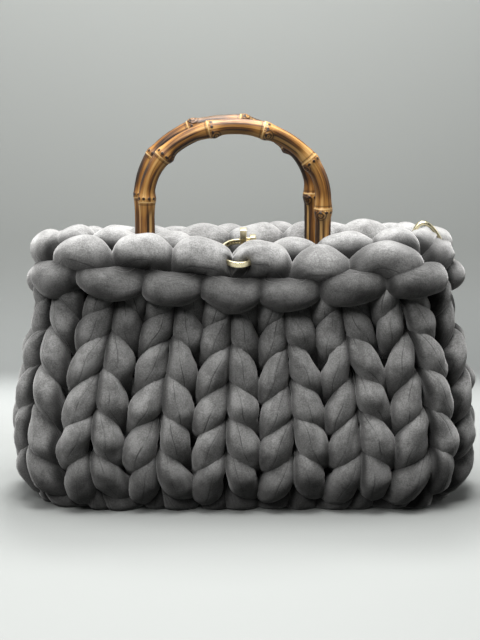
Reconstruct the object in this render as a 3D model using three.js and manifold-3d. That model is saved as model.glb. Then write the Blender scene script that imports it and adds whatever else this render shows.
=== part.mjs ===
// Chunky hand-knitted velvet handbag with two bamboo arch handles and gold rings.
// Millimetres, +Z up, front towards -Y. The origin is on the floor under the middle of the bag.
import * as THREE from 'three';
import { mergeVertices } from 'three/addons/utils/BufferGeometryUtils.js';
import Module from 'manifold-3d';

// Gap that keeps touching pieces apart
const CLEARANCE = 0.3;

// Knit: one padded velvet yarn worked in the round
const STITCHES = 16; // V columns round the bag
const COURSES = 7; // rows of V stitches up the wall
const COURSE_PHASE = 0.31; // share of a course by which the rows start above the underside's edge
const FRONT_COLUMN_X = 12; // where one column's middle crosses the front
const CORNER_SHARE = 0.85; // corner radius over half depth
const YARN_RELIEF = 12; // crown of a stitch leg above the wall's middle surface
const VALLEY_RELIEF = 1.5; // groove between two legs
const LEG_SLANT = 16; // rise of a crease from a column's middle to its edge
const SLANT_FADE = 0.1; // share of the wall over which the slant dies out at each end

// Smooth hollow inside: offset from the middle surface, with rings at these shares of the wall's rise
const HOLLOW = { offset: 9, rises: [1, 0.85, 0.5, 0.27] };
const HOLLOW_FLOOR = { halfWidth: 142, halfDepth: 33, z: 18 };

// Smooth band at the wall's top, which the rim sits over
const TOP_BAND = { starts: 0.89, full: 0.95, relief: 8, room: 1.8, roomRises: [0.85, 1], roomColumns: 40 };

// Middle surface of the wall from the underside up to the rim
const WALL_SECTIONS = [
  { halfWidth: 122, halfDepth: 22, z: 11 },
  { halfWidth: 146, halfDepth: 37, z: 13 },
  { halfWidth: 162, halfDepth: 49, z: 23 },
  { halfWidth: 169.5, halfDepth: 54, z: 42 },
  { halfWidth: 168, halfDepth: 54, z: 70 },
  { halfWidth: 162.5, halfDepth: 52, z: 108 },
  { halfWidth: 153.5, halfDepth: 48.5, z: 146 },
  { halfWidth: 147, halfDepth: 46, z: 176 },
];
const WALL_TOP_Z = 179; // level top edge of the wall
const COLUMN_SECTION = WALL_SECTIONS[4]; // where FRONT_COLUMN_X is measured

// The front of the knit hangs lower towards its middle: depth at x, from the height lowZ up to highZ
const FRONT_DIP = { x: 12, spread: 72, depth: 10.5, lift: 4, halfDepth: 45, lowZ: 15, highZ: 110 };

// One stitch leg up its length: share of the course, share of the relief
const LEG_PROFILE = [
  { along: 0, height: 0 },
  { along: 0.13, height: 0.86 },
  { along: 0.45, height: 1 },
  { along: 0.8, height: 0.62 },
];
// The first course lies on the underside, pressed flat
const UNDERSIDE_PROFILE = [
  { along: 0, height: 0 },
  { along: 0.45, height: 1 },
];
// One stitch leg across its width
const LEG_WIDTH = [
  { across: 0, height: 0 },
  { across: 0.28, height: 0.9 },
  { across: 0.7, height: 0.92 },
];

// Rim: the cast-off chain, three plaited strands round the mouth
const RIM = { halfWidth: 145, halfDepth: 48, z: 190 };
const RIM_STEPS = 5; // steps along one stitch of the rim
const RIM_SIDES = 11;
const RIM_CORE = 10; // solid middle where strands pinch in
const PINCH = 0.52; // size of a strand where it dives under the next
const SWELL_POWER = 0.8; // roundness of a strand between two pinches
// angle: 0 outward, 90 up; shift: place along the stitch
const RIM_STRANDS = [
  { name: 'upper', angle: 72, reach: 9, radius: 13.5, shift: 0 },
  { name: 'inner', angle: 125, reach: 15, radius: 12.5, shift: 0.5 },
  { name: 'lower', angle: -32, reach: 12, radius: 15.5, shift: 0.5 },
];

// Bamboo handles: half-ellipse arch on two straight legs
const HANDLE = { halfWidth: 67.5, archHeight: 55, archZ: 239, footZ: 168, radius: 6 };
const ARCH_POINTS = 24;
const HANDLE_STEPS = 30;
const HANDLE_SIDES = 8;
const KNUCKLE = { swell: 1.2, halfLength: 5 };
// knuckles: shares of the handle's length from its left foot
const HANDLES = [
  { name: 'handle_front', x: -7, y: -23, knuckles: [0.05, 0.205, 0.315, 0.44, 0.565, 0.69, 0.81, 0.95] },
  { name: 'handle_back', x: -13.5, y: 23, knuckles: [0.06, 0.2, 0.3, 0.41, 0.53, 0.65, 0.79, 0.94] },
];
// Yarn of the rim's inner strand lashed round each leg
const LASHING = { halfX: 10.5, halfY: 16, outward: 5.5, height: 15, z: 184, sides: 8 };

// Gold closure ring round the neck of the front rim, with a small clasp on its inner side
const CLOSURE = { x: -4, y: -43, z: 200, halfX: 14, halfY: 22, tiltDeg: 15, band: 4.2, thick: 2 };
const BAND_CHAMFER = 0.7; // flat share of each side of the band's section
const CLASP = { width: 12, depth: 7, height: 9, lift: 0.9, atDeg: 72 };
const CLASP_POST = { width: 5, height: 6, sunk: 0.5 };
const RING_STEPS = 18;

// Gold strap ring through the rim's right end
const STRAP_RING = { x: 147, y: -6, z: 187, halfX: 13, halfZ: 31, wire: 2, leanDeg: -13 };
const WIRE_SIDES = 6;

const wasm = await Module();
wasm.setup();

const velvet = new THREE.MeshStandardMaterial({ color: 0x7d7b79, roughness: 0.95, metalness: 0 });
const bamboo = new THREE.MeshStandardMaterial({ color: 0xa8702f, roughness: 0.38, metalness: 0 });
const gold = new THREE.MeshStandardMaterial({ color: 0xd9bf7a, roughness: 0.22, metalness: 1 });

// Point and outward direction on a rounded rectangle, by share of its length from the front middle towards +X
function roundedRectangle(share, halfWidth, halfDepth) {
  const corner = CORNER_SHARE * halfDepth;
  const flatX = halfWidth - corner;
  const flatY = halfDepth - corner;
  const arc = (Math.PI / 2) * corner;
  const quarter = flatX + flatY + arc;
  const wrapped = share - Math.floor(share);
  const quadrant = Math.floor(wrapped * 4);
  const into = (wrapped * 4 - quadrant) * quarter;
  const along = quadrant % 2 === 1 ? quarter - into : into;
  let x = along;
  let y = halfDepth;
  let normalX = 0;
  let normalY = 1;
  if (along > flatX) {
    const angle = Math.min((along - flatX) / corner, Math.PI / 2);
    normalX = Math.sin(angle);
    normalY = Math.cos(angle);
    x = flatX + corner * normalX;
    y = flatY + corner * normalY - Math.max(along - flatX - arc, 0);
  }
  const signX = quadrant < 2 ? 1 : -1;
  const signY = quadrant === 0 || quadrant === 3 ? -1 : 1;
  return { x: signX * x, y: signY * y, normalX: signX * normalX, normalY: signY * normalY };
}

function columnShift({ halfWidth, halfDepth }) {
  const corner = CORNER_SHARE * halfDepth;
  return FRONT_COLUMN_X / (4 * (halfWidth + halfDepth - 2 * corner) + 2 * Math.PI * corner);
}

const wallProfile = new THREE.CatmullRomCurve3(
  WALL_SECTIONS.map((s) => new THREE.Vector3(s.halfWidth, s.halfDepth, s.z)),
);

// A point of the knit after its front has sagged
function dipped(point) {
  const { smoothstep } = THREE.MathUtils;
  const front = smoothstep(-point.y, -FRONT_DIP.halfDepth, FRONT_DIP.halfDepth);
  const share = front * smoothstep(point.z, FRONT_DIP.lowZ, FRONT_DIP.highZ);
  const away = (point.x - FRONT_DIP.x) / FRONT_DIP.spread;
  const sag = FRONT_DIP.depth * Math.exp(-(away ** 2)) - FRONT_DIP.lift;
  return point.setZ(point.z - share * sag);
}

// Point on the wall, lifted from its middle surface along the outward normal
function wallPoint(share, rise, lift) {
  const size = wallProfile.getPointAt(rise);
  const slope = wallProfile.getTangentAt(rise);
  const at = roundedRectangle(share, size.x, size.y);
  const spread = slope.x * at.normalX ** 2 + slope.y * at.normalY ** 2;
  const normal = new THREE.Vector3(slope.z * at.normalX, slope.z * at.normalY, -spread).normalize();
  return dipped(new THREE.Vector3(at.x, at.y, size.z).addScaledVector(normal, lift));
}

// Closed solid through a stack of rings: a loop of rings joins its ends, a stack is capped
function loft(rings, isLoop) {
  const count = rings[0].length;
  const positions = rings.flat().flatMap((p) => p.toArray());
  const index = [];
  const spans = isLoop ? rings.length : rings.length - 1;
  for (let i = 0; i < spans; i += 1) {
    const low = i * count;
    const high = ((i + 1) % rings.length) * count;
    for (let j = 0; j < count; j += 1) {
      const next = (j + 1) % count;
      index.push(low + j, low + next, high + next, low + j, high + next, high + j);
    }
  }
  if (!isLoop) {
    index.push(...cap(rings[0], 0).flatMap(([a, b, c]) => [a, c, b]));
    index.push(...cap(rings.at(-1), (rings.length - 1) * count).flat());
  }
  const geometry = new THREE.BufferGeometry();
  geometry.setAttribute('position', new THREE.Float32BufferAttribute(positions, 3));
  geometry.setIndex(index);
  return geometry;
}

// Triangles that fill a ring, seen along its own normal
function cap(ring, first) {
  const centre = ring.reduce((sum, p) => sum.add(p), new THREE.Vector3()).divideScalar(ring.length);
  const normal = new THREE.Vector3();
  ring.forEach((p, i) => {
    const q = ring[(i + 1) % ring.length];
    normal.add(new THREE.Vector3().subVectors(p, centre).cross(new THREE.Vector3().subVectors(q, centre)));
  });
  const turn = new THREE.Quaternion().setFromUnitVectors(normal.normalize(), new THREE.Vector3(0, 0, 1));
  const flat = ring.map((p) => {
    const q = p.clone().sub(centre).applyQuaternion(turn);
    return new THREE.Vector2(q.x, q.y);
  });
  return THREE.ShapeUtils.triangulateShape(flat, []).map((t) => t.map((i) => i + first));
}

function solidOf(geometry) {
  const bare = geometry.clone();
  bare.deleteAttribute('normal');
  bare.deleteAttribute('uv');
  const merged = mergeVertices(bare, 1e-4);
  return new wasm.Manifold(new wasm.Mesh({
    numProp: 3,
    vertProperties: new Float32Array(merged.attributes.position.array),
    triVerts: new Uint32Array(merged.index.array),
  }));
}

function geometryOf(solid) {
  const cut = solid.getMesh();
  const geometry = new THREE.BufferGeometry();
  geometry.setAttribute('position', new THREE.Float32BufferAttribute(cut.vertProperties, 3));
  geometry.setIndex(Array.from(cut.triVerts));
  return geometry;
}

function piece(name, geometry, material) {
  geometry.computeVertexNormals();
  const mesh = new THREE.Mesh(geometry, material);
  mesh.name = name;
  return mesh;
}

// Places round the knit: two legs to each V column, with their height across
function knitColumns() {
  const shift = columnShift(COLUMN_SECTION);
  const columns = [];
  for (let leg = 0; leg < 2 * STITCHES; leg += 1) {
    for (const step of LEG_WIDTH) {
      const fromMiddle = leg % 2 === 0 ? step.across : 1 - step.across;
      const share = shift + (leg + step.across) / (2 * STITCHES);
      columns.push({ share, fromMiddle, height: step.height });
    }
  }
  return columns;
}

// Places up the knit: each course rises steeply at its lower end and sinks under the next
function knitRows() {
  const rows = [];
  for (let course = 0; course < COURSES; course += 1) {
    const steps = course === 0 ? UNDERSIDE_PROFILE : LEG_PROFILE;
    for (const step of steps) {
      const rise = (course + COURSE_PHASE + step.along) / COURSES;
      if (rise < 1) rows.push({ rise, height: step.height });
    }
  }
  rows.push({ rise: 1, height: 0 });
  return rows;
}

function stitchPoint(column, row) {
  const { smoothstep, lerp } = THREE.MathUtils;
  const fade = smoothstep(row.rise, 0, SLANT_FADE) * smoothstep(1 - row.rise, 0, SLANT_FADE);
  const slant = (LEG_SLANT * (column.fromMiddle - 0.5) * fade) / wallProfile.getLength();
  const rise = row.rise + slant;
  const stitch = VALLEY_RELIEF + (YARN_RELIEF - VALLEY_RELIEF) * column.height * row.height;
  const lift = lerp(stitch, TOP_BAND.relief, smoothstep(rise, TOP_BAND.starts, TOP_BAND.full));
  const point = wallPoint(column.share, rise, lift);
  return point.setZ(Math.max(point.z, 0)); // the yarn is pressed flat where it rests
}

function flatRing(columns, { halfWidth, halfDepth }, z) {
  return columns.map((column) => {
    const at = roundedRectangle(column.share, halfWidth, halfDepth);
    return new THREE.Vector3(at.x, at.y, z);
  });
}

function smoothRing(columns, rise, lift) {
  return columns.map((column) => wallPoint(column.share, rise, lift));
}

function levelled(ring, z) {
  return ring.map((point) => dipped(point.clone().setZ(z)));
}

// Knitted pouch: V stitches in relief over a flat underside, a level top edge and a smooth hollow
function knitBody() {
  const columns = knitColumns();
  const outside = knitRows().map((row) => columns.map((column) => stitchPoint(column, row)));
  const inside = HOLLOW.rises.map((rise) => smoothRing(columns, rise, -HOLLOW.offset));
  return loft([
    flatRing(columns, WALL_SECTIONS[0], 0),
    ...outside.slice(0, -1),
    levelled(outside.at(-1), WALL_TOP_Z),
    levelled(inside[0], WALL_TOP_Z),
    ...inside.slice(1),
    flatRing(columns, HOLLOW_FLOOR, HOLLOW_FLOOR.z),
  ], false);
}

// How far the rim's skin lies from its middle line: the outermost of its three strands
function rimReach(angle, along) {
  let reach = RIM_CORE;
  for (const strand of RIM_STRANDS) {
    const bulge = Math.abs(Math.cos(Math.PI * (along - strand.shift))) ** SWELL_POWER;
    const radius = strand.radius * (PINCH + (1 - PINCH) * bulge);
    const turn = angle - THREE.MathUtils.degToRad(strand.angle);
    const inside = radius ** 2 - (strand.reach * Math.sin(turn)) ** 2;
    if (inside > 0) reach = Math.max(reach, strand.reach * Math.cos(turn) + Math.sqrt(inside));
  }
  return reach;
}

function rimBraid() {
  const shift = columnShift(RIM);
  const rings = [];
  for (let i = 0; i < STITCHES * RIM_STEPS; i += 1) {
    const along = i / RIM_STEPS;
    const at = roundedRectangle(shift + along / STITCHES, RIM.halfWidth, RIM.halfDepth);
    const ring = [];
    for (let j = 0; j < RIM_SIDES; j += 1) {
      const angle = (2 * Math.PI * j) / RIM_SIDES;
      const reach = rimReach(angle, along);
      const x = at.x + reach * Math.cos(angle) * at.normalX;
      const y = at.y + reach * Math.cos(angle) * at.normalY;
      ring.push(dipped(new THREE.Vector3(x, y, RIM.z + reach * Math.sin(angle))));
    }
    rings.push(ring.reverse());
  }
  return loft(rings, true);
}

// The smooth top band of the wall with its clearance, as a closed ring
function wallTopRoom() {
  const count = TOP_BAND.roomColumns;
  const columns = Array.from({ length: count }, (_, i) => ({ share: i / count }));
  const outer = TOP_BAND.roomRises.map((rise) => smoothRing(columns, rise, TOP_BAND.relief + TOP_BAND.room));
  const inner = TOP_BAND.roomRises.map((rise) => smoothRing(columns, rise, -HOLLOW.offset - TOP_BAND.room));
  const topZ = WALL_TOP_Z + CLEARANCE;
  return loft([
    ...outer,
    levelled(outer.at(-1), topZ),
    levelled(inner.at(-1), topZ),
    ...inner.reverse(),
  ], true);
}

function lashing(handle, side) {
  const geometry = new THREE.CylinderGeometry(1, 1, LASHING.height, LASHING.sides);
  geometry.rotateX(Math.PI / 2).scale(LASHING.halfX, LASHING.halfY, 1);
  const y = handle.y + Math.sign(handle.y) * LASHING.outward;
  return geometry.translate(handle.x + side * HANDLE.halfWidth, y, LASHING.z);
}

function handlePath() {
  const { halfWidth, archHeight, archZ, footZ } = HANDLE;
  const at = (x, z) => new THREE.Vector3(x, 0, z);
  const arch = [];
  for (let i = 0; i <= ARCH_POINTS; i += 1) {
    const angle = Math.PI * (1 - i / ARCH_POINTS);
    arch.push(at(halfWidth * Math.cos(angle), archZ + archHeight * Math.sin(angle)));
  }
  const path = new THREE.CurvePath();
  path.add(new THREE.LineCurve3(at(-halfWidth, footZ), at(-halfWidth, archZ)));
  path.add(new THREE.CatmullRomCurve3(arch));
  path.add(new THREE.LineCurve3(at(halfWidth, archZ), at(halfWidth, footZ)));
  return path;
}

// Bamboo cane with a swollen knuckle at each joint of the stem
function handleGeometry(handle, extra) {
  const path = handlePath();
  const length = path.getLength();
  const rings = [];
  for (let i = 0; i <= HANDLE_STEPS; i += 1) {
    const share = i / HANDLE_STEPS;
    const centre = path.getPointAt(share);
    const tangent = path.getTangentAt(share);
    const across = new THREE.Vector3(tangent.z, 0, -tangent.x);
    const swell = Math.max(...handle.knuckles.map((k) => {
      const away = ((share - k) * length) / KNUCKLE.halfLength;
      return Math.exp(-away * away);
    }));
    const radius = HANDLE.radius + KNUCKLE.swell * swell + extra;
    const ring = [];
    for (let j = 0; j < HANDLE_SIDES; j += 1) {
      const angle = (2 * Math.PI * j) / HANDLE_SIDES;
      const point = centre.clone().addScaledVector(across, radius * Math.cos(angle));
      ring.push(point.setX(point.x + handle.x).setY(handle.y + radius * Math.sin(angle)));
    }
    rings.push(ring);
  }
  return loft(rings, false);
}

// Outward direction on an oval at an angle
function ovalNormal(angle, halfA, halfB) {
  return new THREE.Vector2(Math.cos(angle) * halfB, Math.sin(angle) * halfA).normalize();
}

function placeClosure(geometry) {
  geometry.rotateX(THREE.MathUtils.degToRad(CLOSURE.tiltDeg));
  return geometry.translate(CLOSURE.x, CLOSURE.y, CLOSURE.z);
}

// Flat gold band bent into an oval, tilted up towards the inside of the bag
function closureBand(extra) {
  const halfThick = CLOSURE.thick / 2 + extra;
  const halfBand = CLOSURE.band / 2 + extra;
  const c = BAND_CHAMFER;
  const section = [[-1, -c], [-c, -1], [c, -1], [1, -c], [1, c], [c, 1], [-c, 1], [-1, c]].reverse();
  const rings = [];
  for (let i = 0; i < RING_STEPS; i += 1) {
    const angle = (2 * Math.PI * i) / RING_STEPS;
    const outward = ovalNormal(angle, CLOSURE.halfX, CLOSURE.halfY);
    rings.push(section.map(([thick, band]) => new THREE.Vector3(
      CLOSURE.halfX * Math.cos(angle) + outward.x * thick * halfThick,
      CLOSURE.halfY * Math.sin(angle) + outward.y * thick * halfThick,
      band * halfBand,
    )));
  }
  return placeClosure(loft(rings, true));
}

// Clasp: a cut block threaded on the ring, with a post at one side
function claspGeometry() {
  const angle = THREE.MathUtils.degToRad(CLASP.atDeg);
  const x = CLOSURE.halfX * Math.cos(angle);
  const y = CLOSURE.halfY * Math.sin(angle);
  const block = new THREE.BoxGeometry(CLASP.width, CLASP.depth, CLASP.height);
  block.translate(x, y, CLASP.lift);
  const post = new THREE.BoxGeometry(CLASP_POST.width, CLASP.depth, CLASP_POST.height);
  const postZ = CLASP.lift + (CLASP.height + CLASP_POST.height) / 2 - CLASP_POST.sunk;
  post.translate(x - (CLASP.width - CLASP_POST.width) / 2, y, postZ);
  const solid = solidOf(placeClosure(block)).add(solidOf(placeClosure(post)));
  return geometryOf(solid.subtract(solidOf(closureBand(CLEARANCE))));
}

// Oval wire ring standing in the rim's right end
function strapRing(extra) {
  const wire = STRAP_RING.wire + extra;
  const rings = [];
  for (let i = 0; i < RING_STEPS; i += 1) {
    const angle = (2 * Math.PI * i) / RING_STEPS;
    const outward = ovalNormal(angle, STRAP_RING.halfX, STRAP_RING.halfZ);
    const ring = [];
    for (let j = 0; j < WIRE_SIDES; j += 1) {
      const turn = (2 * Math.PI * j) / WIRE_SIDES;
      ring.push(new THREE.Vector3(
        STRAP_RING.halfX * Math.cos(angle) + outward.x * wire * Math.cos(turn),
        wire * Math.sin(turn),
        STRAP_RING.halfZ * Math.sin(angle) + outward.y * wire * Math.cos(turn),
      ));
    }
    rings.push(ring);
  }
  const geometry = loft(rings, true);
  geometry.rotateY(THREE.MathUtils.degToRad(STRAP_RING.leanDeg));
  return geometry.translate(STRAP_RING.x, STRAP_RING.y, STRAP_RING.z);
}

// Assembly: the soft knit makes room for the hard pieces that pass through it
let body = solidOf(knitBody());
let rim = solidOf(rimBraid());
for (const handle of HANDLES) {
  for (const side of [-1, 1]) rim = rim.add(solidOf(lashing(handle, side)));
}
rim = rim.subtract(solidOf(wallTopRoom()));
const hardRooms = [
  ...HANDLES.map((handle) => solidOf(handleGeometry(handle, CLEARANCE))),
  solidOf(closureBand(CLEARANCE)),
  solidOf(strapRing(CLEARANCE)),
];
for (const room of hardRooms) {
  body = body.subtract(room);
  rim = rim.subtract(room);
}

const bag = new THREE.Group();
bag.name = 'velvet_bag';
bag.add(piece('knit_body', geometryOf(body), velvet));
bag.add(piece('rim_braid', geometryOf(rim), velvet));
HANDLES.forEach((handle) => bag.add(piece(handle.name, handleGeometry(handle, 0), bamboo)));
bag.add(piece('closure_ring', closureBand(0), gold));
bag.add(piece('clasp', claspGeometry(), gold));
bag.add(piece('strap_ring', strapRing(0), gold));

export default bag;
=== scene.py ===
import math
from collections import namedtuple

import bmesh
import bpy
import numpy as np
from mathutils import Matrix, Vector


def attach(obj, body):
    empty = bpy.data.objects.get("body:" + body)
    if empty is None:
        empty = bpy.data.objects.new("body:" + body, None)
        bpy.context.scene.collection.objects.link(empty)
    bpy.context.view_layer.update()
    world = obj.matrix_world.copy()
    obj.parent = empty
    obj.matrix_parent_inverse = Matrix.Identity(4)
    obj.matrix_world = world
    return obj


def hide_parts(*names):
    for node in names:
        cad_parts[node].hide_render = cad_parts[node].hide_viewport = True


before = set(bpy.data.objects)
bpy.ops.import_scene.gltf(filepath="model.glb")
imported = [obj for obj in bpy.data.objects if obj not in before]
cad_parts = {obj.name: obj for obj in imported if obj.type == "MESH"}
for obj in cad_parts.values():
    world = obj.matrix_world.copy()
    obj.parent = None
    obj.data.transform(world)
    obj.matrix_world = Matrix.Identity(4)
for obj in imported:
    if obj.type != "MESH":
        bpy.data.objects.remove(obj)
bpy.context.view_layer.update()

# Camera: a short telephoto on a tripod in front of the bag, a little above it and looking slightly down.
# The picture is upright, so the sensor's long side is its height.
CAMERA_DISTANCE = 1.25
CAMERA_ELEVATION = math.radians(11)
CAMERA_LENS_MM = 88.8
CAMERA_TARGET = Vector((-0.0032, 0, 0.13985))

camera_data = bpy.data.cameras.new("camera")
camera_data.lens = CAMERA_LENS_MM
camera = bpy.data.objects.new("camera", camera_data)
camera_back = Vector((0, -math.cos(CAMERA_ELEVATION), math.sin(CAMERA_ELEVATION)))
camera.location = CAMERA_TARGET + CAMERA_DISTANCE * camera_back
camera.rotation_euler = (-camera_back).to_track_quat("-Z", "Y").to_euler()
bpy.context.scene.collection.objects.link(camera)
bpy.context.scene.camera = camera

# Knitted wall: one padded velvet yarn about 25 mm thick, hand-knitted in the round in chunky V stitches.
# Each round is a closed length of yarn that dives through the loops of the round below it.
# The top of a V lies over the feet of the V above it.
STITCHES = 16
COURSES = 7
COURSE_PHASE = -0.05
FIRST_COURSE = -1
TOP_COURSE = 7.15
FRONT_COLUMN_X = 0.012
CORNER_SHARE = 0.85
KNIT_SIDES = 28
STEPS_PER_POINT = 3
FLOOR_REST = 0.0004

VELVET_GREY = (0.161, 0.160, 0.157, 1)
VELVET_DARK = (0.102, 0.101, 0.099, 1)
VELVET_LIGHT = (0.218, 0.216, 0.213, 1)
VELVET_SEAM = (0.050, 0.049, 0.048, 1)
# painted shade in the creases and painted light on the crowns, as factors on the velvet's colour
VELVET_CREASE_SHADE = (0.03, 0.03, 0.03, 1)
VELVET_CROWN_LIGHT = (1.66, 1.66, 1.65, 1)
VELVET_SHEEN = (1.0, 0.99, 0.97, 1)
# noise over the velvet: waves in a metre of space, or in a metre along the yarn and a turn round it
BRUSH_WAVES = (75, 75, 75)
GRAIN_WAVES = (850, 850, 850)
PULL_WAVES = (28, 22, 1)
THREAD_WAVES = (55, 0.5, 1)
PUCKER_WAVES = (260, 6, 1)
PLEAT_WAVES = (35, 26, 1)
# turns from the sewn seam over which its line and its puckers fade, and how much of its thread shows
SEAM_LINE = (0.002, 0.008)
SEAM_PUCKERS = (0.01, 0.07)
THREAD_NOISE = (0.40, 0.58)
THREAD_SHOWN = (0.08, 0.75)


def add_node(nodes, kind, **settings):
    """A shader node with its properties and plain input values set."""
    node = nodes.new(kind)
    for name, value in settings.items():
        if hasattr(node, name):
            setattr(node, name, value)
        else:
            node.inputs[name.replace("_", " ")].default_value = value
    return node


def feed(tree, socket, operand):
    """Put another node's output, or a plain value, into a socket."""
    if isinstance(operand, bpy.types.NodeSocket):
        tree.links.new(operand, socket)
    else:
        socket.default_value = operand


def add_math(tree, operation, *operands):
    """A Math node's result."""
    node = add_node(tree.nodes, "ShaderNodeMath", operation=operation)
    for socket, operand in zip(node.inputs, operands):
        feed(tree, socket, operand)
    return node.outputs["Value"]


def math_chain(tree, value, *steps):
    """A value taken through Math nodes in turn, each given by its operation and its other operands."""
    for operation, *operands in steps:
        value = add_math(tree, operation, value, *operands)
    return value


def weighed_sum(tree, start, *parts):
    """A start value plus other nodes' outputs, each times its weight."""
    for output, weight in parts:
        start = add_math(tree, "MULTIPLY_ADD", output, weight, start)
    return start


def add_fade(tree, value, low, high, at_low, at_high):
    """A smooth step of a value, from at_low where it is low to at_high where it is high."""
    node = add_node(tree.nodes, "ShaderNodeMapRange", interpolation_type="SMOOTHSTEP")
    tree.links.new(value, node.inputs["Value"])
    for name, number in zip(("From Min", "From Max", "To Min", "To Max"), (low, high, at_low, at_high)):
        node.inputs[name].default_value = number
    return node.outputs["Result"]


def add_noise(tree, place, waves, detail, roughness=0.5, distortion=0.0):
    """Noise over a surface, with its own number of waves each way."""
    stretched = add_node(tree.nodes, "ShaderNodeVectorMath", operation="MULTIPLY")
    stretched.inputs[1].default_value = waves
    tree.links.new(place, stretched.inputs[0])
    noise = add_node(tree.nodes, "ShaderNodeTexNoise", Scale=1, Detail=detail)
    noise.inputs["Roughness"].default_value = roughness
    noise.inputs["Distortion"].default_value = distortion
    tree.links.new(stretched.outputs["Vector"], noise.inputs["Vector"])
    return noise.outputs["Fac"]


def mix_colour(tree, share, first, second, blend="MIX"):
    """A mix of two colours."""
    node = add_node(tree.nodes, "ShaderNodeMix", data_type="RGBA", blend_type=blend)
    for socket, operand in zip((node.inputs["Factor"], *node.inputs[6:8]), (share, first, second)):
        feed(tree, socket, operand)
    return node.outputs[2]


def tone_ramp(tree, share, *stops):
    """A colour by a share, through stops of a position and a colour."""
    node = add_node(tree.nodes, "ShaderNodeValToRGB")
    elements = node.color_ramp.elements
    for element, (position, colour) in zip((elements[0], elements[1]), (stops[0], stops[-1])):
        element.position, element.color = position, colour
    for position, colour in stops[1:-1]:
        elements.new(position).color = colour
    tree.links.new(share, node.inputs["Fac"])
    return node.outputs["Color"]


def uv_place(tree, name):
    """The mesh's own place along and across a surface, by the name of its UV map."""
    return add_node(tree.nodes, "ShaderNodeUVMap", uv_map=name).outputs["UV"]


def object_place(tree):
    """The place in space, in metres."""
    return add_node(tree.nodes, "ShaderNodeTexCoord").outputs["Object"]


def carried_value(tree, name):
    """A value that the mesh's points carry."""
    return add_node(tree.nodes, "ShaderNodeAttribute", attribute_name=name).outputs["Fac"]


def split_vector(tree, vector):
    """A vector's three parts."""
    node = add_node(tree.nodes, "ShaderNodeSeparateXYZ")
    tree.links.new(vector, node.inputs["Vector"])
    return [node.outputs[axis] for axis in "XYZ"]


def add_bump(tree, shader, height, strength, distance):
    """Fine relief on a shader's surface, from a height."""
    bump = add_node(tree.nodes, "ShaderNodeBump", Strength=strength, Distance=distance)
    tree.links.new(height, bump.inputs["Height"])
    tree.links.new(bump.outputs["Normal"], shader.inputs["Normal"])


def new_material(name, **values):
    """A material, its node tree and its shader, with the shader's plain values set."""
    material = bpy.data.materials.new(name)
    material.use_nodes = True
    shader = material.node_tree.nodes["Principled BSDF"]
    for socket, value in values.items():
        shader.inputs[socket.replace("_", " ")].default_value = value
    return material, material.node_tree, shader


def velvet_finish():
    """Grey velvet with a brushed pile, over yarn that was sewn into a tube, with painted shade in its creases
    and painted light on its crowns.
    """
    material, tree, shader = new_material(
        "velvet", Roughness=0.95, Specular_IOR_Level=0.12,
        Sheen_Weight=0.7, Sheen_Roughness=0.5, Sheen_Tint=VELVET_SHEEN,
    )
    place = object_place(tree)
    yarn = uv_place(tree, "yarn")

    # pile that was brushed this way and that, in soft patches, over a fine grain
    brush = add_noise(tree, place, BRUSH_WAVES, detail=5, roughness=0.62, distortion=0.4)
    grain = add_noise(tree, place, GRAIN_WAVES, detail=3, roughness=0.75)
    pull = add_noise(tree, yarn, PULL_WAVES, detail=4, roughness=0.65)
    patch = weighed_sum(tree, -0.61, (brush, 1), (grain, 1), (pull, 0.22))
    tone = tone_ramp(tree, patch, (0.32, VELVET_DARK), (0.50, VELVET_GREY), (0.68, VELVET_LIGHT))

    # sewn seam along the yarn, with small puckers beside it, and pleats where the yarn is squeezed
    _, turns, _ = split_vector(tree, yarn)
    off_seam = math_chain(tree, turns, ("ADD", 0.5), ("FRACT",), ("SUBTRACT", 0.5), ("ABSOLUTE",))
    sewn = add_noise(tree, yarn, THREAD_WAVES, detail=2)
    shown = add_fade(tree, sewn, *THREAD_NOISE, *THREAD_SHOWN)
    line = add_fade(tree, off_seam, *SEAM_LINE, 1, 0)
    line = add_math(tree, "MULTIPLY", line, shown)
    beside = add_fade(tree, off_seam, *SEAM_PUCKERS, 1, 0)
    pucker = add_noise(tree, yarn, PUCKER_WAVES, detail=2)
    ripple = add_math(tree, "MULTIPLY", pucker, beside)
    pleat = add_noise(tree, yarn, PLEAT_WAVES, detail=3)
    fold = add_math(tree, "MULTIPLY", pleat, carried_value(tree, "pinch"))
    # painted shade: the colour is multiplied down in the creases, near the floor and where lobes meet, and up
    # on the crowns as painted light
    painted_shading = mix_colour(tree, carried_value(tree, "crown"), VELVET_CREASE_SHADE, VELVET_CROWN_LIGHT)
    shaded_tone = mix_colour(tree, 1, tone, painted_shading, blend="MULTIPLY")
    colour = mix_colour(tree, line, shaded_tone, VELVET_SEAM)
    tree.links.new(colour, shader.inputs["Base Color"])
    height = weighed_sum(
        tree, 0, (grain, 0.30), (brush, 0.9), (pull, 0.45),
        (line, -0.55), (ripple, 0.7), (fold, 1.3),
    )
    add_bump(tree, shader, height, strength=0.5, distance=0.0014)
    return material


velvet = velvet_finish()

WallSection = namedtuple("WallSection", "half_width half_depth height")
WALL_SECTIONS = [
    WallSection(0.098, 0.009, 0.0110),
    WallSection(0.122, 0.022, 0.0112),
    WallSection(0.146, 0.037, 0.0130),
    WallSection(0.162, 0.049, 0.0230),
    WallSection(0.1695, 0.054, 0.0420),
    WallSection(0.168, 0.054, 0.0700),
    WallSection(0.1625, 0.052, 0.1080),
    WallSection(0.1535, 0.0485, 0.1460),
    WallSection(0.147, 0.046, 0.1760),
    WallSection(0.143, 0.045, 0.2060),
]
FAN = 0.045
FAN_COURSE = 3.5
FAN_SIDES = 2
FOOT_BULGE = 0.0045
FOOT_COURSE = 1.1
FOOT_SPREAD = 0.75
FIRST_SECTION = 1
LAST_SECTION = 8
SECTION_STEPS = 40
COLUMN_SECTION = WALL_SECTIONS[5]


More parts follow.
